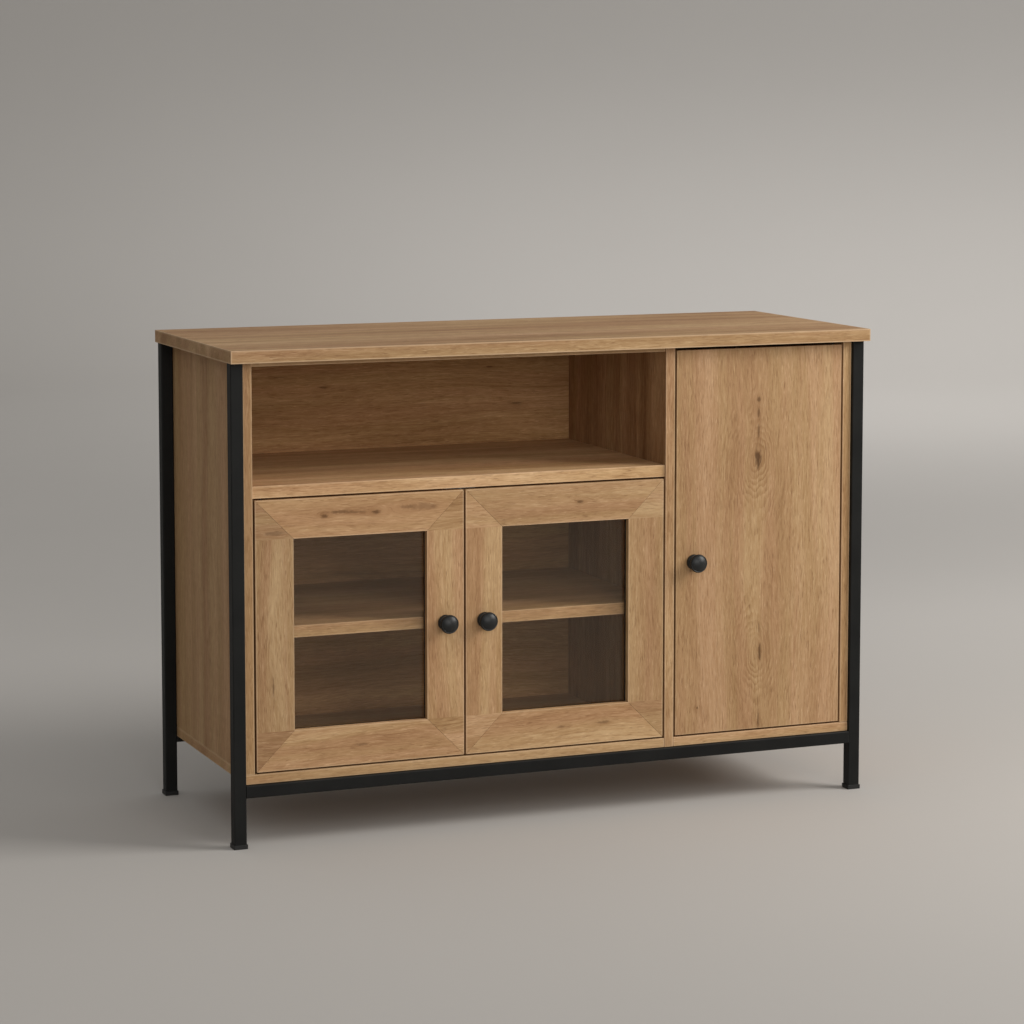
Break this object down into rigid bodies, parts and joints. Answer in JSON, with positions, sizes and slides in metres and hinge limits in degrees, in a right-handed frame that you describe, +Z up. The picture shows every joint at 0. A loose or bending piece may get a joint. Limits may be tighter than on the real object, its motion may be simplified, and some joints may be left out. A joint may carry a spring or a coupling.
{
  "type": "sideboard buffet",
  "caption": "Wood sideboard buffet on black square steel legs, with an open compartment over framed glass doors and a tall plain cupboard door, all with round knobs.",
  "frame": {"origin": "on the floor at the middle of the footprint", "axes": "+Z up, +X to the viewer's right along the front, -Y out of the front towards the viewer"},
  "size_m": [1.1, 0.431, 0.776],
  "materials": {
    "oak": "satin rustic oak foil with visible grain and small knots",
    "back_oak": "matt rustic oak foil on thin board",
    "black_steel": "fine matt black powder coat",
    "black_plastic": "moulded black plastic",
    "knob_black": "satin black paint",
    "glass": "clear polished float glass, slightly warm",
    "zinc_steel": "bright zinc plate",
    "white_plastic": "moulded off-white plastic"
  },
  "bodies": {
    "carcass": {"top_panel": "oak", "left_side_panel": "oak", "right_side_panel": "oak", "divider_panel": "oak", "left_bottom_panel": "oak", "right_bottom_panel": "oak", "compartment_shelf": "oak", "compartment_top_rail": "oak", "cabinet_shelf": "oak", "cupboard_shelf": "oak", "left_back_panel": "back_oak", "right_back_panel": "back_oak", "front_left_leg": "black_steel", "front_right_leg": "black_steel", "rear_left_leg": "black_steel", "rear_right_leg": "black_steel", "front_left_foot_cap": "black_plastic", "front_right_foot_cap": "black_plastic", "rear_left_foot_cap": "black_plastic", "rear_right_foot_cap": "black_plastic", "front_rail": "black_steel", "rear_rail": "black_steel", "cabinet_left_front_shelf_peg": "zinc_steel", "cabinet_left_rear_shelf_peg": "zinc_steel", "cabinet_right_front_shelf_peg": "zinc_steel", "cabinet_right_rear_shelf_peg": "zinc_steel", "cupboard_left_front_shelf_peg": "zinc_steel", "cupboard_left_rear_shelf_peg": "zinc_steel", "cupboard_right_front_shelf_peg": "zinc_steel", "cupboard_right_rear_shelf_peg": "zinc_steel", "glass_door_catch": "white_plastic", "tall_door_catch": "white_plastic"},
    "left_door": {"left_door_hinge_stile": "oak", "left_door_knob_stile": "oak", "left_door_top_rail": "oak", "left_door_bottom_rail": "oak", "left_door_glass_pane": "glass", "left_door_glass_gasket": "black_plastic", "left_door_knob": "knob_black", "left_door_knob_screw": "zinc_steel", "left_door_lower_pin": "black_steel", "left_door_upper_pin": "black_steel", "left_door_strike_plate": "zinc_steel"},
    "right_door": {"right_door_hinge_stile": "oak", "right_door_knob_stile": "oak", "right_door_top_rail": "oak", "right_door_bottom_rail": "oak", "right_door_glass_pane": "glass", "right_door_glass_gasket": "black_plastic", "right_door_knob": "knob_black", "right_door_knob_screw": "zinc_steel", "right_door_lower_pin": "black_steel", "right_door_upper_pin": "black_steel", "right_door_strike_plate": "zinc_steel"},
    "tall_door": {"tall_door_panel": "oak", "tall_door_knob": "knob_black", "tall_door_knob_screw": "zinc_steel", "tall_door_lower_pin": "black_steel", "tall_door_upper_pin": "black_steel", "tall_door_strike_plate": "zinc_steel"}
  },
  "joints": [
    {"name": "left_door_hinge", "type": "hinge", "parent": "carcass", "child": "left_door", "pos_m": [-0.4957, -0.1805, 0.1173], "axis": [0, 0, 1], "range_deg": [-110, 0]},
    {"name": "right_door_hinge", "type": "hinge", "parent": "carcass", "child": "right_door", "pos_m": [0.1724, -0.1805, 0.1173], "axis": [0, 0, 1], "range_deg": [0, 110]},
    {"name": "tall_door_hinge", "type": "hinge", "parent": "carcass", "child": "tall_door", "pos_m": [0.4957, -0.1805, 0.1173], "axis": [0, 0, 1], "range_deg": [0, 110]}
  ]
}
